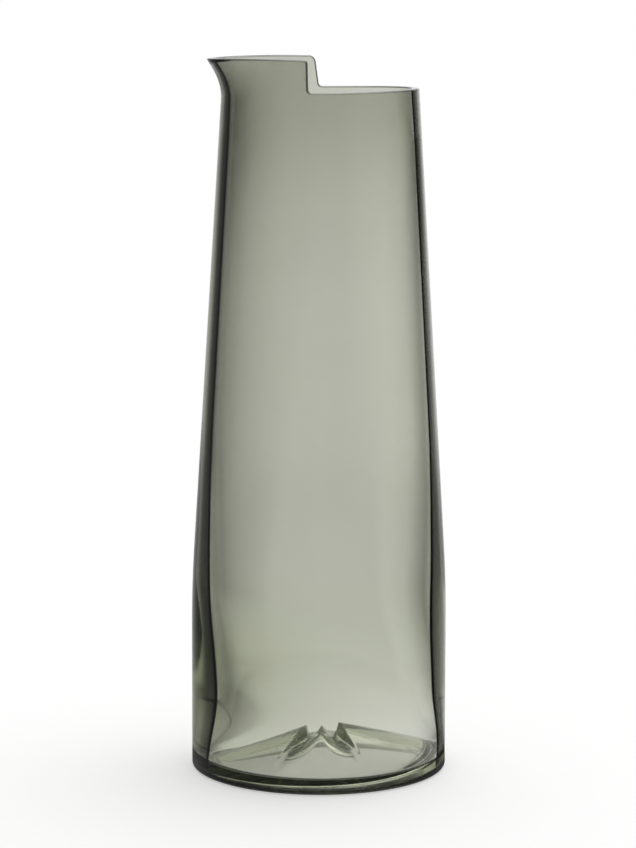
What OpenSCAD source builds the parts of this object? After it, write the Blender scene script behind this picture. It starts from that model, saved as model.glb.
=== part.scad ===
// Water carafe of mouth-blown smoke glass, in one piece.
// A straight lower body tapers to a rim that is cut in a step: the high half carries the spout.
// Origin: centre of the base, on the table. +Z up, the spout towards -X.

/* [Body] */
// Height of the high rim above the table
height = 280; // [240:1:330]
// Outer diameter of the straight lower body
base_d = 100.8; // [90:0.2:112]
// Outer diameter that the taper reaches at the height of the high rim
rim_d = 75.1; // [64:0.1:84]
// Height at which the lower body turns into the taper
shoulder_h = 73; // [60:1:95]
// Half the height over which that turn is rounded
shoulder_blend = 16; // [6:1:30]
// Radius of the outer corner at the foot
foot_r = 1.5; // [1:0.1:4]

/* [Wall] */
// Thickness of the glass at the rim
wall_rim = 3.3; // [2.4:0.1:3.8]
// Thickness that the wall grows towards at the table, without the belt
wall_low = 4.6; // [4:0.1:6]
// Extra thickness of the belt, where the blown glass gathers low in the wall
belt_extra = 2.9; // [0:0.1:3.4]
// Height of the middle of that belt
belt_h = 38; // [34:1:60]
// How far the belt reaches up from its middle
belt_up = 105; // [60:1:120]
// How far it reaches down
belt_down = 31; // [24:1:34]
// Sideways shift of the inside against the outside, away from the spout
inside_shift = 0.5; // [0:0.05:0.8]
// Depth below the rim over which that shift fades out
inside_shift_fade = 30; // [20:1:90]
// Further shift of the inside low down
low_shift = 2.2; // [0:0.1:2.4]
// Height at which that shift is largest
low_shift_h = 30; // [20:1:40]
// How far it reaches up and down
low_shift_reach = 46; // [30:1:60]

/* [Rim] */
// Height that the rim drops at the step
step_drop = 12.4; // [8:0.1:20]
// Radius of the upper, outward corner at the near edge of the step
step_corner_near_r = 1.5; // [1.2:0.1:4]
// Radius of the same corner at the far edge
step_corner_far_r = 3; // [2:0.1:4]
// Radius of the lower, inward corner of the step
step_fillet_r = 1.4; // [1:0.1:2]
// Distance of the near edge of the step from the middle plane, towards the spout
step_near = 4.9; // [0:0.1:8]
// Distance of the far edge of the step from the middle plane, towards the spout
step_far = 1.5; // [0:0.1:8]
// How far the near edge leans away from the spout on its way down
step_lean_near = 0.4; // [0:0.1:2]
// How far the far edge leans away from the spout on its way down
step_lean_far = 1.8; // [0:0.1:2]
// How far the high rim dips at the spout and beside the step
rim_dip = 0.4; // [0:0.1:1.5]
// How far the low rim falls from the step to the side opposite the spout; below 0 it rises
rim_fall = -0.8; // [-1.5:0.1:1.5]
// Depth of the zone in which the skin adapts to the stepped rim
rim_zone_h = 40; // [30:1:60]

/* [Spout] */
// Depth below the high rim at which the spout starts to lean out
spout_h = 10.4; // [6:0.1:16]
// Half the depth over which that start is rounded
spout_blend = 6; // [3:0.1:8]
// Lean of the spout against the vertical, in degrees
spout_lean = 34; // [20:1:45]
// Angle from the middle of the spout to where it has died out, in degrees
spout_half_angle = 58; // [35:1:70]

/* [Base] */
// Thickness of the glass floor beside the wall
floor_t = 4.2; // [4:0.1:6]
// Radius of the inner corner between wall and floor
floor_fillet_r = 2.5; // [2:0.1:4]
// Width of the flat ring that the carafe stands on
ring_w = 8; // [5:0.1:12]
// Height of the pushed-up floor above its rim, where its sides would meet in the middle
punt_h = 16.6; // [8:0.1:18]
// Upright thickness of the glass over the hollow underneath
punt_glass = 5.2; // [4.2:0.1:5.6]
// Distance inside the ring over which the underside rises from the table to that thickness
lip_run = 1.2; // [0.8:0.1:3]
// Depth of the two folds that the pontil left beside the middle
fold_depth = 6; // [0:0.1:7]
// Distance of a fold from the middle
fold_out = 5.1; // [4:0.1:7]
// Angle by which the folds spread towards the near side
fold_flare = 20; // [0:1:35]
// Width of a fold's slope towards the middle
fold_inner_w = 8; // [5:0.1:10]
// Width of its steeper slope on the other side
fold_outer_w = 1.4; // [1:0.1:4]
// Distance from the middle over which the folds fade
fold_reach = 16; // [10:1:24]

/* [Facets] */
// Facets along each half of the high rim
high_facets = 16; // [10:1:24]
// Facets along each half of the low rim
low_facets = 17; // [10:1:24]
// Facets round each corner of the step
corner_facets = 4; // [3:1:8]
// Facets along the straight edge of the step
edge_facets = 3; // [2:1:8]
// Facets from the crown of the rim to its full thickness
bead_facets = 3; // [2:1:6]
// Facets round the corner at the foot and the corner of the floor
fillet_facets = 3; // [2:1:6]

/* [Hidden] */

base_r = base_d / 2;
rim_r = rim_d / 2;
taper = (base_r - rim_r) / (height - shoulder_h);

// Heights of the skin between the foot and the rim zone, as shares of the height
outer_row_shares = [0.2, 0.22, 0.24, 0.26, 0.28, 0.3, 0.33, 0.5, 0.68];
inner_row_shares = [0.68, 0.5, 0.42, 0.36, 0.3, 0.25, 0.2, 0.165, 0.135, 0.11, 0.09, 0.07, 0.045];
// Rows of the rim zone, as shares of the way from the rounded edge down to its lower end
zone_row_shares = [0.12, 0.28, 0.5, 0.75, 1];
// Rings of the floor and of the hollow under it, as shares of their radii
floor_ring_shares = [0.9, 0.75, 0.58, 0.43, 0.32, 0.24, 0.185, 0.15, 0.12, 0.09, 0.05];
hollow_ring_shares = [0.055, 0.1, 0.13, 0.165, 0.205, 0.27, 0.36, 0.5, 0.66, 0.83];

// Profile of the pushed-up floor: power of its fall, and the bulge on the side away from the spout
punt_power = 0.92;
bulge_share = 0.4;
bulge_angle = 5;
bulge_spread = 50;
// Spread that the edge of the step takes at the lower end of the rim zone
step_spread_share = 1.5;
// Height of the rim's rounding as a share of half the wall
bead_share = 0.4;
// Angles from the spout: the dip's rise and fall, and where the high rim is level again
dip_period = 108;
level_angle = 80;

// Rises from zero at t = -blend to t itself from t = blend on, smoothly
function ramp(t, blend) = t <= -blend ? 0 : t >= blend ? t : pow(t + blend, 2) / (4 * blend);

// Outer radius of the body at a height, without foot corner and spout
function body_r(z) = base_r - taper * ramp(z - shoulder_h, shoulder_blend);

// How far the spout leans out at a height and an angle from its middle
function spout_out(z, phi) =
    let (side = phi >= spout_half_angle ? 0 : pow(cos(90 * phi / spout_half_angle), 2))
    tan(spout_lean) * ramp(z - height + spout_h, spout_blend) * side;

// 1 at the middle height, falling softly to 0 at the end of its reach up or down
function swell(z, middle, up, down) =
    let (t = (z - middle) / (z > middle ? up : down))
    abs(t) >= 1 ? 0 : pow(cos(90 * t), 2);

// Thickness of the wall at a height and an azimuth
function wall(z, a) =
    let (
        even = wall_rim + (wall_low - wall_rim) * (1 - z / height),
        belt = belt_extra * swell(z, belt_h, belt_up, belt_down),
        low = low_shift * swell(z, low_shift_h, low_shift_reach, low_shift_reach),
        shift = inside_shift * min(1, (height - z) / inside_shift_fade) + low
    )
    even + belt - shift * cos(a);

// Height of the high rim at an angle from the middle of the spout
function high_rim(phi) = height - rim_dip * (1 + cos(360 * min(phi, level_angle) / dip_period)) / 2;

// Height of the low rim between the step and the side opposite the spout
function low_rim(phi, phi_step) =
    height - step_drop - rim_fall * (1 - cos(180 * (phi - phi_step) / (180 - phi_step))) / 2;

// One half of the rim, from the middle of the spout to the opposite side, unrolled to a plane.
// Each entry holds the distance along the rim, the height, the direction that faces out of
// the glass, and the distance that the same column has at the lower end of the rim zone.
function half_rim(back, lean, corner_r) =
    let (
        arc = rim_r * PI / 180,
        phi_step = acos(back / rim_r),
        top_z = high_rim(phi_step),
        low_z = low_rim(phi_step, phi_step),
        tilt = atan(lean / (top_z - low_z)),
        corner_cut = corner_r * tan((90 - tilt) / 2),
        fillet_cut = step_fillet_r * tan((90 - tilt) / 2),
        top_q = phi_step * arc - lean / 2 - corner_cut,
        low_q = phi_step * arc + lean / 2 + fillet_cut,
        corner_len = corner_r * (90 - tilt) * PI / 180,
        fillet_len = step_fillet_r * (90 - tilt) * PI / 180,
        edge_len = (top_z - low_z) / cos(tilt) - corner_cut - fillet_cut,
        step_len = corner_len + edge_len + fillet_len,
        edge_top = [top_q + corner_r * cos(tilt), top_z - corner_r * (1 - sin(tilt))],
        down = [sin(tilt), -cos(tilt)],
        start_low = low_q - step_spread_share * step_len
    )
    concat(
        [for (i = [0 : high_facets - 1])
            let (q = top_q * i / high_facets)
            [q, high_rim(q / arc), 90, start_low * i / high_facets]],
        [for (i = [0 : corner_facets])
            let (face = 90 - (90 - tilt) * i / corner_facets)
            [top_q + corner_r * cos(face), top_z - corner_r * (1 - sin(face)), face,
                start_low + step_spread_share * corner_len * i / corner_facets]],
        [for (i = [1 : edge_facets - 1])
            let (way = edge_len * i / edge_facets, p = edge_top + way * down)
            [p[0], p[1], tilt, start_low + step_spread_share * (corner_len + way)]],
        [for (i = [0 : corner_facets])
            let (face = tilt + (90 - tilt) * i / corner_facets)
            [low_q - step_fillet_r * cos(face), low_z + step_fillet_r * (1 - sin(face)), face,
                low_q - step_spread_share * fillet_len * (1 - i / corner_facets)]],
        [for (i = [1 : low_facets])
            let (q = low_q + (180 * arc - low_q) * i / low_facets)
            [q, low_rim(q / arc, phi_step), 90, q]]
    );

// The whole rim as columns, the near half first, each with the side that it lies on
near_half = half_rim(step_near, step_lean_near, step_corner_near_r);
far_half = half_rim(step_far, step_lean_far, step_corner_far_r);
last = len(near_half) - 1;
columns = concat(
    [for (i = [0 : last]) concat(near_half[i], 1)],
    [for (i = [last - 1 : -1 : 1]) concat(far_half[i], -1)]
);

// Azimuth of a distance along the rim
function azimuth(q, side) = 180 + side * q / (rim_r * PI / 180);

// A point of the skin at an azimuth, a radius and a height
function polar(a, r, z) = [r * cos(a), r * sin(a), z];

// Middle of the wall near the rim
function wall_middle(z, a, phi) = body_r(z) + spout_out(z, phi) - wall(z, a) / 2;

// Point of the rim zone: depth is measured from the rim edge into the glass, and down is
// the share of the way from full thickness to the lower end of the zone. skin is 1 outside
// and -1 inside.
function rim_point(c, angle, down, skin) =
    let (
        edge_half = wall(c[1], azimuth(c[0], c[4])) / 2,
        depth = bead_share * edge_half * (1 - cos(angle)),
        q0 = c[0] - depth * cos(c[2]),
        z0 = c[1] - depth * sin(c[2]),
        q = q0 + (c[3] - q0) * down,
        z = z0 + (height - rim_zone_h - z0) * down,
        a = azimuth(q, c[4]),
        half = down > 0 ? wall(z, a) / 2 : wall(z, a) / 2 * sin(angle)
    )
    polar(a, wall_middle(z, a, abs(a - 180)) + skin * half, z);

// Azimuth of a column below the rim zone
function low_azimuth(c) = azimuth(c[3], c[4]);

// Depth of the two folds beside the middle of the pushed-up floor
function folds(r, a) =
    let (
        aside = abs(r * cos(a)) - fold_out - tan(fold_flare) * max(0, -r * sin(a)),
        side = max(0, 1 - abs(aside) / (aside < 0 ? fold_inner_w : fold_outer_w)),
        rounded = side * (1 + side * (3 - 2 * side)) / 2
    )
    fold_depth * rounded * exp(-pow(r / fold_reach, 2));

// Height of the pushed-up floor above its rim
function punt(r, a, reach) =
    let (
        turn = abs((a - bulge_angle + 540) % 360 - 180),
        power = punt_power - bulge_share * exp(-pow(turn / bulge_spread, 2))
    )
    punt_h * pow(max(0, 1 - r / reach), power) - folds(r, a);

// Radius of the inside just above its lower corner, and radius at which its floor ends
function floor_corner_r(a) = body_r(floor_t + floor_fillet_r) - wall(floor_t + floor_fillet_r, a);

// Point of the inner corner: 0 degrees at the wall, 90 degrees at the floor
function corner_point(a, angle) =
    let (
        r = floor_corner_r(a) - floor_fillet_r * (1 - cos(angle)),
        z = floor_t + floor_fillet_r * (1 - sin(angle))
    )
    polar(a, r, z + punt(r, a, floor_corner_r(a)));

// Point of the floor at a share of its radius
function floor_point(a, share) =
    let (r = share * (floor_corner_r(a) - floor_fillet_r))
    polar(a, r, floor_t + punt(r, a, floor_corner_r(a)));

// The hollow underneath: it follows the floor and meets the table at the ring
hollow_r = base_r - foot_r - ring_w;
function hollow(r, a) =
    min(1, (hollow_r - r) / lip_run) * (floor_t - punt_glass + punt(r, a, floor_corner_r(a)));
function hollow_point(a, r) = polar(a, r, hollow(r, a));

// Rings of the skin, from the middle of the hollow over the rim to the middle of the floor
rings = concat(
    [for (s = hollow_ring_shares) [for (c = columns) hollow_point(low_azimuth(c), s * hollow_r)]],
    [for (r = [hollow_r - lip_run, hollow_r]) [for (c = columns) hollow_point(low_azimuth(c), r)]],
    [for (i = [0 : fillet_facets])
        let (turn = 90 * i / fillet_facets)
        [for (c = columns)
            polar(low_azimuth(c), base_r - foot_r * (1 - sin(turn)), foot_r * (1 - cos(turn)))]],
    [for (s = outer_row_shares) [for (c = columns) polar(low_azimuth(c), body_r(s * height), s * height)]],
    [for (i = [len(zone_row_shares) - 1 : -1 : 0])
        [for (c = columns) rim_point(c, 90, zone_row_shares[i], 1)]],
    [for (i = [bead_facets : -1 : 0]) [for (c = columns) rim_point(c, 90 * i / bead_facets, 0, 1)]],
    [for (i = [1 : bead_facets]) [for (c = columns) rim_point(c, 90 * i / bead_facets, 0, -1)]],
    [for (s = zone_row_shares) [for (c = columns) rim_point(c, 90, s, -1)]],
    [for (s = inner_row_shares)
        [for (c = columns)
            let (a = low_azimuth(c), z = s * height)
            polar(a, body_r(z) - wall(z, a), z)]],
    [for (i = [0 : fillet_facets]) [for (c = columns) corner_point(low_azimuth(c), 90 * i / fillet_facets)]],
    [for (s = floor_ring_shares) [for (c = columns) floor_point(low_azimuth(c), s)]]
);

// The skin is one closed surface: quads between neighbouring rings, and a fan at each pole
module closed_skin(rings, first_pole, last_pole) {
    n = len(rings[0]);
    m = len(rings);
    points = concat([for (ring = rings) each ring], [first_pole, last_pole]);
    sides = [for (j = [0 : m - 2], i = [0 : n - 1])
        let (k = (i + 1) % n, p = j * n, q = p + n)
        each [[p + i, q + i, q + k], [p + i, q + k, p + k]]];
    first_fan = [for (i = [0 : n - 1]) [n * m, i, (i + 1) % n]];
    last_fan = [for (i = [0 : n - 1]) [n * m + 1, n * (m - 1) + (i + 1) % n, n * (m - 1) + i]];
    polyhedron(points = points, faces = concat(sides, first_fan, last_fan), convexity = 6);
}

// The blown glass body with its stepped rim, spout and pushed-up base
module glass_body() {
    floor_middle = floor_t + punt(0, 0, base_r);
    hollow_middle = hollow(0, 0);
    color("#8b9083", 0.55)
        closed_skin(rings, [0, 0, hollow_middle], [0, 0, floor_middle]);
}

glass_body();
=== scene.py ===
# Water carafe of mouth-blown smoke glass, dressed for its portrait on a pale table.
import math

import bpy
import numpy as np
from mathutils import Matrix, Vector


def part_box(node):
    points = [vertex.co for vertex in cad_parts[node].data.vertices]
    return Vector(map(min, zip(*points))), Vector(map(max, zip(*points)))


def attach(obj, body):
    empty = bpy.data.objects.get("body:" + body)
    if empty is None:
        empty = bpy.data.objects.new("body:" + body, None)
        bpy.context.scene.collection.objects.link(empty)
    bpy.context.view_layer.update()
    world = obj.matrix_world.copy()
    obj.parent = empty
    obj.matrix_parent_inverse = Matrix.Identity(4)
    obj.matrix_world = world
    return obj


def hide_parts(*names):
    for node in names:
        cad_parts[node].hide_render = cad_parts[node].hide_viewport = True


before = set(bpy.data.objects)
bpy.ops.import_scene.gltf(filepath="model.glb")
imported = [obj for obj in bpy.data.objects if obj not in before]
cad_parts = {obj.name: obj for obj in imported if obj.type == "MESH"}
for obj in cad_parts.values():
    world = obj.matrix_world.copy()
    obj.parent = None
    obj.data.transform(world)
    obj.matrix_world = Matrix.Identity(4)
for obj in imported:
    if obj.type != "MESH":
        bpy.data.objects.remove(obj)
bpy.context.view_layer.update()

# Sizes of the glass in metres. The frame gives the height and the foot
_, high_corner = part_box("glass_body")
HEIGHT = high_corner.z
FOOT_RADIUS = high_corner.x
RIM_RADIUS = 0.03755
SHOULDER_HEIGHT = 0.073
SHOULDER_BLEND = 0.016
FOOT_CORNER = 0.0015

WALL_AT_RIM = 0.0033
WALL_AT_TABLE = 0.0046
BELT_EXTRA = 0.0029
BELT_HEIGHT = 0.038
BELT_REACH_UP = 0.105
BELT_REACH_DOWN = 0.031
INSIDE_SHIFT = 0.0005
INSIDE_SHIFT_FADE = 0.030
LOW_SHIFT = 0.0022
LOW_SHIFT_HEIGHT = 0.030
LOW_SHIFT_REACH = 0.046

STEP_DROP = 0.0124
STEP_CORNER_NEAR = 0.0015
STEP_CORNER_FAR = 0.003
STEP_FILLET = 0.0014
STEP_NEAR = 0.0049
STEP_FAR = 0.0015
STEP_LEAN_NEAR = 0.0004
STEP_LEAN_FAR = 0.0018
RIM_DIP = 0.0004
RIM_FALL = -0.0008
RIM_ZONE = 0.040
STEP_SPREAD_SHARE = 1.5
BEAD_SHARE = 0.4
DIP_PERIOD = math.radians(108)
LEVEL_ANGLE = math.radians(80)

SPOUT_HEIGHT = 0.0104
SPOUT_BLEND = 0.006
SPOUT_LEAN = math.radians(34)
SPOUT_HALF_ANGLE = math.radians(58)

FLOOR_THICKNESS = 0.0042
FLOOR_FILLET = 0.0025
RING_WIDTH = 0.008
HOLLOW_RADIUS = FOOT_RADIUS - FOOT_CORNER - RING_WIDTH
PUNT_HEIGHT = 0.0166
PUNT_GLASS = 0.0052
LIP_RUN = 0.0012
BULGE_ANGLE = math.radians(5)
BULGE_SPREAD = math.radians(50)
BULGE_SHARE = 0.4
PUNT_POWER = 0.92
FOLD_DEPTH = 0.0060
FOLD_REACH = 0.016
FOLD_OUT = 0.0051
FOLD_FLARE = math.radians(20)
FOLD_INNER_WIDTH = 0.0080
FOLD_OUTER_WIDTH = 0.0014

# Fineness of the skin
HIGH_FACETS = 72
LOW_FACETS = 72
CORNER_FACETS = 12
EDGE_FACETS = 12
BEAD_FACETS = 10
FILLET_FACETS = 10
ZONE_ROWS = 24
ZONE_POWER = 1.5
WALL_ROWS = 90
FLOOR_ROWS = 48
LIP_ROWS = 3


def ramp(t, blend):
    """Zero below -blend, t above blend, and a smooth turn between them."""
    turn = (t + blend) ** 2 / (4 * blend)
    return np.where(t <= -blend, 0, np.where(t >= blend, t, turn))


def body_radius(z):
    taper = (FOOT_RADIUS - RIM_RADIUS) / (HEIGHT - SHOULDER_HEIGHT)
    return FOOT_RADIUS - taper * ramp(z - SHOULDER_HEIGHT, SHOULDER_BLEND)


def spout_out(z, phi):
    side = np.where(phi >= SPOUT_HALF_ANGLE, 0, np.cos(math.pi / 2 * phi / SPOUT_HALF_ANGLE) ** 2)
    return math.tan(SPOUT_LEAN) * ramp(z - HEIGHT + SPOUT_HEIGHT, SPOUT_BLEND) * side


def swell(z, middle, reach_up, reach_down):
    """1 at the middle height, falling softly to 0 at the end of its reach up or down."""
    reach = np.where(z > middle, reach_up, reach_down)
    return np.cos(math.pi / 2 * np.clip((z - middle) / reach, -1, 1)) ** 2


def wall(z, a):
    """Thickness of the glass at a height and an azimuth."""
    even = WALL_AT_RIM + (WALL_AT_TABLE - WALL_AT_RIM) * (1 - z / HEIGHT)
    belt = BELT_EXTRA * swell(z, BELT_HEIGHT, BELT_REACH_UP, BELT_REACH_DOWN)
    shift = INSIDE_SHIFT * np.clip((HEIGHT - z) / INSIDE_SHIFT_FADE, 0, 1)
    shift = shift + LOW_SHIFT * swell(z, LOW_SHIFT_HEIGHT, LOW_SHIFT_REACH, LOW_SHIFT_REACH)
    return even + belt - shift * np.cos(a)


def high_rim(phi):
    return HEIGHT - RIM_DIP * (1 + np.cos(2 * math.pi * np.minimum(phi, LEVEL_ANGLE) / DIP_PERIOD)) / 2


def low_rim(phi, phi_step):
    fall = (1 - np.cos(math.pi * (phi - phi_step) / (math.pi - phi_step))) / 2
    return HEIGHT - STEP_DROP - RIM_FALL * fall


def half_rim(back, lean, corner_r):
    """One half of the rim, unrolled, from the spout's middle to the opposite side.

    Columns: distance along the rim, height, direction out of the glass, and the distance
    that the same column has at the lower end of the rim zone."""
    phi_step = math.acos(back / RIM_RADIUS)
    top_z = float(high_rim(phi_step))
    low_z = float(low_rim(phi_step, phi_step))
    tilt = math.atan(lean / (top_z - low_z))
    turn = math.pi / 2 - tilt
    corner_cut = corner_r * math.tan(turn / 2)
    fillet_cut = STEP_FILLET * math.tan(turn / 2)
    top_q = phi_step * RIM_RADIUS - lean / 2 - corner_cut
    low_q = phi_step * RIM_RADIUS + lean / 2 + fillet_cut
    corner_length = corner_r * turn
    fillet_length = STEP_FILLET * turn
    edge_length = (top_z - low_z) / math.cos(tilt) - corner_cut - fillet_cut
    step_length = corner_length + edge_length + fillet_length
    start_low = low_q - STEP_SPREAD_SHARE * step_length
    edge_top = (top_q + corner_r * math.cos(tilt), top_z - corner_r * (1 - math.sin(tilt)))

    rows = []
    for i in range(HIGH_FACETS):
        q = top_q * i / HIGH_FACETS
        rows.append((q, float(high_rim(q / RIM_RADIUS)), math.pi / 2, start_low * i / HIGH_FACETS))
    for i in range(CORNER_FACETS + 1):
        face = math.pi / 2 - turn * i / CORNER_FACETS
        rows.append((
            top_q + corner_r * math.cos(face),
            top_z - corner_r * (1 - math.sin(face)),
            face,
            start_low + STEP_SPREAD_SHARE * corner_length * i / CORNER_FACETS,
        ))
    for i in range(1, EDGE_FACETS):
        way = edge_length * i / EDGE_FACETS
        rows.append((
            edge_top[0] + way * math.sin(tilt),
            edge_top[1] - way * math.cos(tilt),
            tilt,
            start_low + STEP_SPREAD_SHARE * (corner_length + way),
        ))
    for i in range(CORNER_FACETS + 1):
        face = tilt + turn * i / CORNER_FACETS
        rows.append((
            low_q - STEP_FILLET * math.cos(face),
            low_z + STEP_FILLET * (1 - math.sin(face)),
            face,
            low_q - STEP_SPREAD_SHARE * fillet_length * (1 - i / CORNER_FACETS),
        ))
    for i in range(1, LOW_FACETS + 1):
        q = low_q + (math.pi * RIM_RADIUS - low_q) * i / LOW_FACETS
        rows.append((q, float(low_rim(q / RIM_RADIUS, phi_step)), math.pi / 2, q))
    return rows


def rim_columns():
    near = half_rim(STEP_NEAR, STEP_LEAN_NEAR, STEP_CORNER_NEAR)
    far = half_rim(STEP_FAR, STEP_LEAN_FAR, STEP_CORNER_FAR)
    whole = [row + (1,) for row in near] + [row + (-1,) for row in far[-2:0:-1]]
    return np.array(whole).T


DISTANCE, RIM_Z, FACING, LOW_DISTANCE, SIDE = rim_columns()


def azimuth(q):
    return math.pi + SIDE * q / RIM_RADIUS


LOW_AZIMUTH = azimuth(LOW_DISTANCE)


def polar(a, r, z):
    return np.stack([r * np.cos(a), r * np.sin(a), z + 0 * a], axis=-1)


def rim_ring(angle, down, skin):
    """A ring of the rim zone. skin is 1 outside and -1 inside."""
    edge_half = wall(RIM_Z, azimuth(DISTANCE)) / 2
    depth = BEAD_SHARE * edge_half * (1 - math.cos(angle))
    q0 = DISTANCE - depth * np.cos(FACING)
    z0 = RIM_Z - depth * np.sin(FACING)
    q = q0 + (LOW_DISTANCE - q0) * down
    z = z0 + (HEIGHT - RIM_ZONE - z0) * down
    a = azimuth(q)
    thickness = wall(z, a)
    half = thickness / 2 * (1 if down > 0 else math.sin(angle))
    middle = body_radius(z) + spout_out(z, abs(a - math.pi)) - thickness / 2
    return polar(a, middle + skin * half, z)


def between(a, middle):
    """Angle between two azimuths, from 0 to pi."""
    return np.abs((a - middle + 3 * math.pi) % (2 * math.pi) - math.pi)


def folds(r, a):
    """Depth of the two folds that the pontil left beside the punt's middle."""
    x = r * np.cos(a)
    y = r * np.sin(a)
    from_fold = np.abs(x) - FOLD_OUT - math.tan(FOLD_FLARE) * np.clip(-y, 0, None)
    width = np.where(from_fold < 0, FOLD_INNER_WIDTH, FOLD_OUTER_WIDTH)
    side = np.clip(1 - np.abs(from_fold) / width, 0, 1)
    side = side * (1 + side * (3 - 2 * side)) / 2
    return FOLD_DEPTH * side * np.exp(-((r / FOLD_REACH) ** 2))


def punt(r, a, reach):
    """Height of the pushed-up floor above its rim."""
    power = PUNT_POWER - BULGE_SHARE * np.exp(-((between(a, BULGE_ANGLE) / BULGE_SPREAD) ** 2))
    return PUNT_HEIGHT * np.clip(1 - r / reach, 0, 1) ** power - folds(r, a)


def floor_corner_radius(a):
    top = FLOOR_THICKNESS + FLOOR_FILLET
    return body_radius(top) - wall(top, a)


def hollow(r, a):
    """Height of the underside: it follows the floor and meets the table at the ring."""
    lip = np.clip((HOLLOW_RADIUS - r) / LIP_RUN, 0, 1)
    return lip * (FLOOR_THICKNESS - PUNT_GLASS + punt(r, a, floor_corner_radius(a)))


def corner_ring(angle):
    a = LOW_AZIMUTH
    r = floor_corner_radius(a) - FLOOR_FILLET * (1 - math.cos(angle))
    z = FLOOR_THICKNESS + FLOOR_FILLET * (1 - math.sin(angle))
    return polar(a, r, z + punt(r, a, floor_corner_radius(a)))


def floor_ring(share):
    a = LOW_AZIMUTH
    r = share * (floor_corner_radius(a) - FLOOR_FILLET)
    return polar(a, r, FLOOR_THICKNESS + punt(r, a, floor_corner_radius(a)))


def hollow_ring(r):
    return polar(LOW_AZIMUTH, r, hollow(r, LOW_AZIMUTH))


def foot_ring(angle):
    r = FOOT_RADIUS - FOOT_CORNER * (1 - math.sin(angle))
    return polar(LOW_AZIMUTH, r, FOOT_CORNER * (1 - math.cos(angle)))


def inside_ring(z):
    return polar(LOW_AZIMUTH, body_radius(z) - wall(z, LOW_AZIMUTH), z)


def skin_marks(points, rows, around):
    """Marks for the glass: the outer skin, the floor and foot, the rounded rim, and the facing past
    which light stays in the wall. The glass material paints shade by them."""
    row = np.concatenate([np.repeat(np.arange(rows), around), [0, rows - 1]])
    foot_rows = FLOOR_ROWS + LIP_ROWS + FILLET_FACETS + 1
    bead_row = foot_rows + WALL_ROWS - 1 + ZONE_ROWS + BEAD_FACETS
    outside = (row <= bead_row).astype(float)
    base = ((row < foot_rows) | (row >= rows - FLOOR_ROWS - FILLET_FACETS)).astype(float)
    rim = (np.abs(row - bead_row) < BEAD_FACETS).astype(float)
    a = np.arctan2(points[:, 1], points[:, 0])
    r = body_radius(points[:, 2])
    inside_share = np.clip((r - wall(points[:, 2], a)) / r, 0, 1)
    turn = 1 - np.sqrt(1 - inside_share ** 2)
    return {"outer_skin": outside, "base_skin": base, "rounded_rim": rim, "wall_turn": turn}


def skin_rings():
    """All rings of the skin, from the middle of the hollow over the rim to the floor's middle."""
    quarter = math.pi / 2
    zone_end = HEIGHT - RIM_ZONE
    corner_top = FLOOR_THICKNESS + FLOOR_FILLET
    rings = [hollow_ring((HOLLOW_RADIUS - LIP_RUN) * i / FLOOR_ROWS) for i in range(1, FLOOR_ROWS + 1)]
    rings += [hollow_ring(HOLLOW_RADIUS - LIP_RUN * (1 - i / LIP_ROWS)) for i in range(1, LIP_ROWS + 1)]
    rings += [foot_ring(quarter * i / FILLET_FACETS) for i in range(FILLET_FACETS + 1)]
    for i in range(1, WALL_ROWS):
        z = FOOT_CORNER + (zone_end - FOOT_CORNER) * i / WALL_ROWS
        rings.append(polar(LOW_AZIMUTH, body_radius(z), z))
    rings += [rim_ring(quarter, (i / ZONE_ROWS) ** ZONE_POWER, 1) for i in range(ZONE_ROWS, 0, -1)]
    rings += [rim_ring(quarter * i / BEAD_FACETS, 0, 1) for i in range(BEAD_FACETS, -1, -1)]
    rings += [rim_ring(quarter * i / BEAD_FACETS, 0, -1) for i in range(1, BEAD_FACETS + 1)]
    rings += [rim_ring(quarter, (i / ZONE_ROWS) ** ZONE_POWER, -1) for i in range(1, ZONE_ROWS + 1)]
    for i in range(1, WALL_ROWS):
        rings.append(inside_ring(zone_end + (corner_top - zone_end) * i / WALL_ROWS))
    rings += [corner_ring(quarter * i / FILLET_FACETS) for i in range(FILLET_FACETS + 1)]
    rings += [floor_ring(1 - i / FLOOR_ROWS) for i in range(1, FLOOR_ROWS)]
    return np.array(rings)


def closed_skin(name, rings, first_pole, last_pole):
    """One closed mesh: quads between neighbouring rings, and a fan at each pole."""
    rows, around = rings.shape[:2]
    points = np.concatenate([rings.reshape(-1, 3), [first_pole, last_pole]])
    i = np.arange(around)
    k = (i + 1) % around
    faces = []
    for row in range(rows - 1):
        start = row * around
        below = start + around
        faces += np.stack([start + i, start + k, below + k, below + i], axis=1).tolist()
    faces += [(rows * around, b, a) for a, b in zip(i.tolist(), k.tolist())]
    end = (rows - 1) * around
    faces += [(rows * around + 1, end + a, end + b) for a, b in zip(i.tolist(), k.tolist())]
    mesh = bpy.data.meshes.new(name)
    mesh.from_pydata(points.tolist(), [], faces)
    mesh.polygons.foreach_set("use_smooth", [True] * len(mesh.polygons))
    for label, values in skin_marks(points, rows, around).items():
        mark = mesh.attributes.new(label, "FLOAT", "POINT")
        mark.data.foreach_set("value", values)
    mesh.update()
    piece = bpy.data.objects.new(name, mesh)
    bpy.context.scene.collection.objects.link(piece)
    return piece


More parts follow.
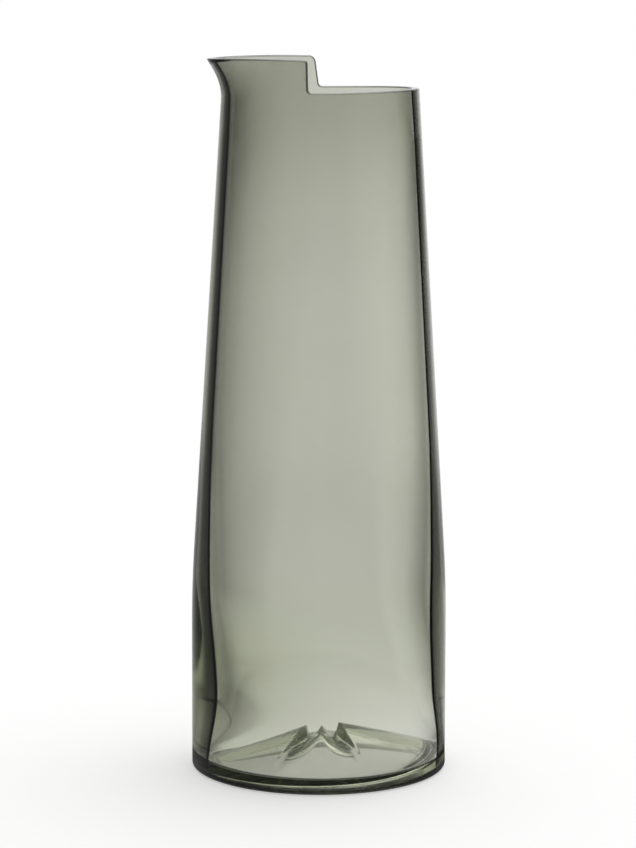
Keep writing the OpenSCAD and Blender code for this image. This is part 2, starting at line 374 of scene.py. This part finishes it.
class Nodes:
    """Adds shader nodes to a tree and links them."""

    def __init__(self, tree):
        self.tree = tree
        tree.nodes.clear()

    def add(self, kind, values=None, **settings):
        node = self.tree.nodes.new("ShaderNode" + kind)
        for key, value in settings.items():
            setattr(node, key, value)
        for key, value in (values or {}).items():
            if isinstance(value, bpy.types.NodeSocket):
                self.tree.links.new(value, node.inputs[key])
            else:
                node.inputs[key].default_value = value
        return node

    def math(self, operation, *values):
        return self.add("Math", dict(enumerate(values)), operation=operation).outputs[0]

    def attribute(self, name):
        return self.add("Attribute", attribute_name=name).outputs["Fac"]

    def mix(self, share, first, second, blend="MIX"):
        """The first colour where the share is 0 and the second, or their blend, where it is 1."""
        values = {0: share, 6: first, 7: second}
        return self.add("Mix", values, data_type="RGBA", blend_type=blend).outputs[2]

    def levels(self, factor, stops):
        """Levels or colours that change evenly from stop to stop."""
        node = self.add("ValToRGB", {0: factor})
        elements = node.color_ramp.elements
        node.color_ramp.interpolation = "LINEAR"
        while len(elements) > 1:
            elements.remove(elements[-1])
        for index, (place, level) in enumerate(stops):
            colour = level if isinstance(level, tuple) else (level, level, level)
            element = elements[0] if index == 0 else elements.new(place)
            element.position = place
            element.color = (*colour, 1)
        return node.outputs["Color"]


WHITE = (1, 1, 1, 1)

# Glass: what its volume takes from red, green and blue light, and the tint of the skin by height,
# which follows the photograph's tone
GLASS_IOR = 1.5
GLASS_DENSITY = 58
GLASS_TAKES = (0.79, 0.74, 1.0)
TINT_STOPS = (
    (0.0, (1.0, 1.0, 1.0)),
    (0.20, (1.0, 1.0, 1.0)),
    (0.30, (0.94, 0.935, 0.95)),
    (0.38, (0.888, 0.886, 0.876)),
    (0.52, (0.871, 0.875, 0.85)),
    (0.66, (0.866, 0.868, 0.843)),
    (0.80, (0.809, 0.811, 0.78)),
    (0.93, (0.697, 0.702, 0.655)),
    (1.0, (0.68, 0.688, 0.64)),
)
# How far the tint's height drifts, as it does in glass gathered by hand
TINT_DRIFT = 0.08
TINT_DRIFT_SCALE = 9
# Painted shade on the outer skin by its facing, for dark contour lines, with 0.5 where light begins to stay
# in the wall
TURN_STOP = 0.5
IN_WALL_SHADE_STOPS = (
    (0.0, 1.0), (0.488, 1.0), (0.497, 0.0), (0.525, 0.0), (0.564, 0.06), (0.609, 0.14), (0.633, 0.21),
    (0.71, 1.0), (1.0, 1.0),
)
# Painted shade on the floor and the foot by their facing: a thin dark outline
CONTOUR_SHADE_STOPS = ((0.0, 1.0), (0.86, 1.0), (0.95, 0.10), (1.0, 0.02))
# Painted shade on the lowest 10 mm of the outer skin by height: the dark band round the foot
FOOT_SHADE_REACH = 0.01
FOOT_SHADE_STOPS = ((0.0, 0.004), (0.26, 0.01), (0.40, 1.0), (1.0, 1.0))
# Painted shade along the rounded rim: its thin dark line
RIM_SHADE = (0.25, 0.25, 0.24, 1)
RIPPLE_SCALE = 22
RIPPLE_STRETCH = (1, 1, 0.25)
RIPPLE_STRENGTH = 0.02
RIPPLE_DEPTH = 0.001
# Lamp light that reaches the table through one wall
LAMP_LIGHT_THROUGH = (0.72, 0.74, 0.69, 1)


def smoke_glass():
    material = bpy.data.materials.new("smoke_glass")
    material.use_nodes = True
    nodes = Nodes(material.node_tree)
    place = nodes.add("TexCoord").outputs["Object"]
    height = nodes.add("SeparateXYZ", {0: place}).outputs["Z"]
    share = nodes.math("DIVIDE", height, HEIGHT)
    noise = nodes.add("TexNoise", {"Vector": place, "Scale": TINT_DRIFT_SCALE, "Detail": 1}).outputs[0]
    drift = nodes.math("MULTIPLY", nodes.math("SUBTRACT", noise, 0.5), TINT_DRIFT)
    tint_and_painted_shade = nodes.levels(nodes.math("ADD", share, drift), TINT_STOPS)

    # Painted shade, multiplied into the tint on front faces: dark contour lines on the outer skin, a dark
    # outline on the floor and foot, a dark line along the rim and a dark band round the foot
    facing = nodes.add("LayerWeight", {"Blend": 0.5}).outputs["Facing"]
    outer_skin = nodes.attribute("outer_skin")
    past_turn = nodes.math("ADD", nodes.math("SUBTRACT", facing, nodes.attribute("wall_turn")), TURN_STOP)
    edge = nodes.mix(outer_skin, WHITE, nodes.levels(past_turn, IN_WALL_SHADE_STOPS))
    edge = nodes.mix(nodes.attribute("base_skin"), edge, nodes.levels(facing, CONTOUR_SHADE_STOPS))
    edge = nodes.mix(nodes.attribute("rounded_rim"), edge, RIM_SHADE)
    painted_foot_shade = nodes.levels(nodes.math("DIVIDE", height, FOOT_SHADE_REACH), FOOT_SHADE_STOPS)
    edge = nodes.mix(1.0, edge, nodes.mix(outer_skin, WHITE, painted_foot_shade), "MULTIPLY")
    from_glass = nodes.add("NewGeometry").outputs["Backfacing"]
    tint_and_painted_shade = nodes.mix(1.0, tint_and_painted_shade, nodes.mix(from_glass, edge, WHITE), "MULTIPLY")

    stretch = nodes.add("Mapping", {"Vector": place, "Scale": RIPPLE_STRETCH}).outputs[0]
    ripples = nodes.add("TexNoise", {"Vector": stretch, "Scale": RIPPLE_SCALE, "Detail": 2}).outputs[0]
    bump = nodes.add("Bump", {
        "Height": ripples, "Strength": RIPPLE_STRENGTH, "Distance": RIPPLE_DEPTH,
    }).outputs[0]
    glass = nodes.add("BsdfPrincipled", {
        "Base Color": tint_and_painted_shade,
        "Roughness": 0.0,
        "IOR": GLASS_IOR,
        "Transmission Weight": 1.0,
        "Normal": bump,
    }).outputs[0]
    lamps_through = nodes.add("BsdfTransparent", {"Color": LAMP_LIGHT_THROUGH}).outputs[0]
    shadow_ray = nodes.add("LightPath").outputs["Is Shadow Ray"]
    mix = nodes.add("MixShader", {0: shadow_ray, 1: glass, 2: lamps_through})
    inside = nodes.add("VolumeAbsorption", {
        "Color": (*[1 - t for t in GLASS_TAKES], 1), "Density": GLASS_DENSITY,
    })
    nodes.add("OutputMaterial", {"Surface": mix.outputs[0], "Volume": inside.outputs[0]})
    return material


# Studio: brightness round the carafe. Angles in degrees from straight behind it, positive to the right.
# Beyond is the low sky and the far table, Far, Near and Beside are rings of the table, each nearer
# than the last, and Mirrored is what the glass mirrors. Beyond, Far and Near began as a fit to the
# photograph's brightness, and were then thinned out, changed and rounded
BEYOND = (
    (-180, 0.3), (-90, 0.85), (-60, 0.3), (-45, 0.12), (-28, 0.12), (-16, 0.22), (-10, 0.4), (-2, 0.9),
    (2, 1.0), (7, 1.0), (12, 0.65), (18, 0.35), (24, 0.22), (40, 0.25), (60, 0.5), (135, 0.9), (160, 0.4),
)
FAR = (
    (-180, 0.3), (-90, 0.85), (-60, 0.3), (-45, 0.12), (-30, 0.17), (-18, 0.4), (-10, 0.55), (-3, 0.8),
    (3, 1.0), (7, 0.95), (15, 0.5), (35, 0.6), (60, 0.6), (135, 0.9), (160, 0.4),
)
NEAR = (
    (-180, 0.65), (-120, 0.8), (-60, 0.7), (-35, 0.2), (-26, 0.2), (-15, 0.45), (-8, 0.65), (-2, 0.8),
    (2, 1.0), (7, 0.9), (15, 0.55), (20, 0.3), (40, 0.6), (135, 0.85),
)
BESIDE = (
    (-180, 0.85), (-60, 0.6), (-42, 0.27), (-33, 0.27), (-25, 0.38), (-15, 0.84), (-8, 0.95), (1, 0.95),
    (8, 0.78), (18, 0.25), (30, 0.25), (60, 0.7), (160, 0.85),
)
MIRRORED = (
    (-180, 0.25), (-60, 0.12), (-40, 0.12), (-16, 0.45), (0, 0.95), (8, 0.95), (16, 0.7), (40, 0.05),
    (60, 0.03), (180, 0.25),
)
SURROUNDINGS = {"Beside": BESIDE, "Near": NEAR, "Far": FAR, "Beyond": BEYOND, "Mirrored": MIRRORED}
# Share of white in the sky by its rise. The far table takes in the first share, so no horizon shows
SKY_STOPS = ((0.0, 0.3), (0.08, 0.4), (0.3, 1.0), (1.0, 1.0))
# Level of the table under the glass, a painted shade of the glass with a darker painted contact
# shadow where the foot stands, then the distances in metres between which one ring passes over into
# the next
CLOSE_REACH = 0.1
CLOSE_SHADOW_STOPS = ((0.0, 0.50), (0.39, 0.50), (0.42, 0.08), (0.49, 0.08), (0.54, 0.95), (1.0, 0.95))
CLOSE_END = 0.055
BESIDE_START = 0.065
BESIDE_END = 0.16
NEAR_START = 0.25
NEAR_END = 0.50
FAR_START = 0.75
FAR_END = 2.0
BEYOND_START = 4.0
BEYOND_END = 12.0
HORIZON_START = 20.0
# On the table the angles are measured from the nearest point of a short line across the carafe
EDGE_OFFSET = 0.041
FLOOR_REACH = 30.0
FLOOR_GAP = 0.0002
FLOOR_WHITE = 0.80
FLOOR_GLOW = 0.40
FLOOR_FADE_START = 0.6
FLOOR_FADE_END = 1.6
SKY_LIGHT = 0.35
SUN_STRENGTH = 1.4
SUN_SPREAD = math.radians(70)
SUN_TURN = (math.radians(-18), math.radians(12), 0)


def surroundings_group():
    """What the glass sees round the carafe: a pale window behind it, dark flags beside it, and lighter
    room beyond them."""
    group = bpy.data.node_groups.new("surroundings", "ShaderNodeTree")
    group.interface.new_socket("Direction", in_out="INPUT", socket_type="NodeSocketVector")
    for name in SURROUNDINGS:
        group.interface.new_socket(name, in_out="OUTPUT", socket_type="NodeSocketColor")
    nodes = Nodes(group)
    direction = nodes.tree.nodes.new("NodeGroupInput").outputs[0]
    parts = nodes.add("SeparateXYZ", {0: direction})
    angle = nodes.math("ARCTAN2", parts.outputs["X"], parts.outputs["Y"])
    place = nodes.math("ADD", nodes.math("DIVIDE", angle, 2 * math.pi), 0.5)
    end = nodes.tree.nodes.new("NodeGroupOutput")
    for name, stops in SURROUNDINGS.items():
        level = nodes.levels(place, [(a / 360 + 0.5, v) for a, v in stops])
        nodes.tree.links.new(level, end.inputs[name])
    return group


def rays(nodes):
    """Light path, 1 for rays that glass bends or mirrors, and 1 for those that it only mirrors."""
    path = nodes.add("LightPath")
    bent = path.outputs["Is Transmission Ray"]
    either = nodes.math("MAXIMUM", path.outputs["Is Glossy Ray"], bent)
    return path, either, nodes.math("SUBTRACT", either, bent)


def sky(surroundings):
    world = bpy.data.worlds.new("studio_air")
    world.use_nodes = True
    nodes = Nodes(world.node_tree)
    direction = nodes.add("TexCoord").outputs["Generated"]
    round_about = nodes.add("Group", node_tree=surroundings)
    nodes.tree.links.new(direction, round_about.inputs[0])
    rise = nodes.add("SeparateXYZ", {0: direction}).outputs["Z"]
    window = nodes.mix(nodes.levels(rise, SKY_STOPS), round_about.outputs["Beyond"], WHITE)
    path, through, mirrored = rays(nodes)
    window = nodes.mix(mirrored, window, round_about.outputs["Mirrored"])
    plain = nodes.mix(path.outputs["Is Camera Ray"], (SKY_LIGHT, SKY_LIGHT, SKY_LIGHT, 1), WHITE)
    seen = nodes.mix(through, plain, window)
    background = nodes.add("Background", {"Color": seen, "Strength": 1.0})
    nodes.add("OutputWorld", {"Surface": background.outputs[0]})
    bpy.context.scene.world = world


def table_material(surroundings):
    material = bpy.data.materials.new("pale_table")
    material.use_nodes = True
    nodes = Nodes(material.node_tree)
    place = nodes.add("TexCoord").outputs["Object"]
    distance = nodes.add("VectorMath", {0: place}, operation="LENGTH").outputs["Value"]
    round_about = nodes.add("Group", node_tree=surroundings)
    across = nodes.add("SeparateXYZ", {0: place})
    edge = nodes.add("Clamp", {0: across.outputs["X"], 1: -EDGE_OFFSET, 2: EDGE_OFFSET}).outputs[0]
    from_edge = nodes.add("CombineXYZ", {
        0: nodes.math("SUBTRACT", across.outputs["X"], edge), 1: across.outputs["Y"],
    }).outputs[0]
    nodes.tree.links.new(from_edge, round_about.inputs[0])
    # Painted shade of the glass on the table under it, and a darker painted contact shadow where the foot
    # stands
    window = nodes.levels(nodes.math("DIVIDE", distance, CLOSE_REACH), CLOSE_SHADOW_STOPS)
    for name, start, end in (
        ("Beside", CLOSE_END, BESIDE_START), ("Near", BESIDE_END, NEAR_START), ("Far", NEAR_END, FAR_START),
        ("Beyond", FAR_END, BEYOND_START),
    ):
        share = nodes.add("MapRange", {0: distance, 1: start, 2: end}).outputs[0]
        window = nodes.mix(share, window, round_about.outputs[name])
    white_share = SKY_STOPS[0][1]
    horizon = nodes.add("MapRange", {0: distance, 1: BEYOND_END, 2: HORIZON_START, 4: white_share}).outputs[0]
    window = nodes.mix(horizon, window, WHITE)
    lit = nodes.add("BsdfDiffuse", {"Color": (FLOOR_WHITE, FLOOR_WHITE, FLOOR_WHITE, 1)})
    glow = nodes.add("Emission", {"Color": WHITE, "Strength": FLOOR_GLOW})
    near_table = nodes.add("AddShader", {0: lit.outputs[0], 1: glow.outputs[0]})
    white = nodes.add("Emission", {"Color": WHITE, "Strength": 1.0})
    fade = nodes.add("MapRange", {0: distance, 1: FLOOR_FADE_START, 2: FLOOR_FADE_END}).outputs[0]
    table = nodes.add("MixShader", {0: fade, 1: near_table.outputs[0], 2: white.outputs[0]})
    path, through, mirrored = rays(nodes)
    level = nodes.mix(mirrored, window, round_about.outputs["Mirrored"])
    bent = nodes.add("Emission", {"Color": level, "Strength": 1.0})
    plain = nodes.add("MixShader", {0: path.outputs["Is Camera Ray"], 1: lit.outputs[0], 2: table.outputs[0]})
    seen = nodes.add("MixShader", {0: through, 1: plain.outputs[0], 2: bent.outputs[0]})
    nodes.add("OutputMaterial", {"Surface": seen.outputs[0]})
    return material


def table(surroundings):
    mesh = bpy.data.meshes.new("table_top")
    r = FLOOR_REACH
    z = -FLOOR_GAP
    mesh.from_pydata([(-r, -r, z), (r, -r, z), (r, r, z), (-r, r, z)], [], [(0, 1, 2, 3)])
    top = bpy.data.objects.new("table_top", mesh)
    top.data.materials.append(table_material(surroundings))
    bpy.context.scene.collection.objects.link(top)


def soft_sun():
    lamp = bpy.data.lights.new("overhead_softbox", "SUN")
    lamp.energy = SUN_STRENGTH
    lamp.angle = SUN_SPREAD
    holder = bpy.data.objects.new("overhead_softbox", lamp)
    holder.rotation_euler = SUN_TURN
    bpy.context.scene.collection.objects.link(holder)


# Camera, fitted to the photograph's outline
CAMERA_AWAY = 1.1988
CAMERA_HEIGHT = 0.3136
CAMERA_SIDE = -0.0006
CAMERA_DOWN = math.radians(8.394)
CAMERA_ROLL = math.radians(0.172)
FOCAL_PIXELS = 3081.9
PHOTO_HEIGHT = 848
SENSOR = 36.0


def portrait_camera():
    data = bpy.data.cameras.new("portrait")
    data.sensor_width = SENSOR
    data.lens = FOCAL_PIXELS / PHOTO_HEIGHT * SENSOR
    camera = bpy.data.objects.new("portrait", data)
    aim = Matrix.Rotation(math.pi / 2 - CAMERA_DOWN, 4, "X") @ Matrix.Rotation(CAMERA_ROLL, 4, "Z")
    camera.matrix_world = Matrix.Translation((CAMERA_SIDE, -CAMERA_AWAY, CAMERA_HEIGHT)) @ aim
    bpy.context.scene.collection.objects.link(camera)
    bpy.context.scene.camera = camera


def blown_glass():
    middle = float(hollow(0.0, 0.0))
    floor_middle = FLOOR_THICKNESS + float(punt(0.0, 0.0, FOOT_RADIUS))
    body = closed_skin("blown_glass_body", skin_rings(), (0, 0, middle), (0, 0, floor_middle))
    body.data.materials.append(smoke_glass())
    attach(body, "root")
    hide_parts("glass_body")


# Bounces that light needs through four skins of glass and inside the walls
BOUNCES = 32
MIRROR_BOUNCES = 16

scene = bpy.context.scene
scene.view_settings.view_transform = "Standard"
scene.cycles.max_bounces = BOUNCES
scene.cycles.transmission_bounces = BOUNCES
scene.cycles.glossy_bounces = MIRROR_BOUNCES

portrait_camera()
blown_glass()
surroundings = surroundings_group()
sky(surroundings)
table(surroundings)
soft_sun()
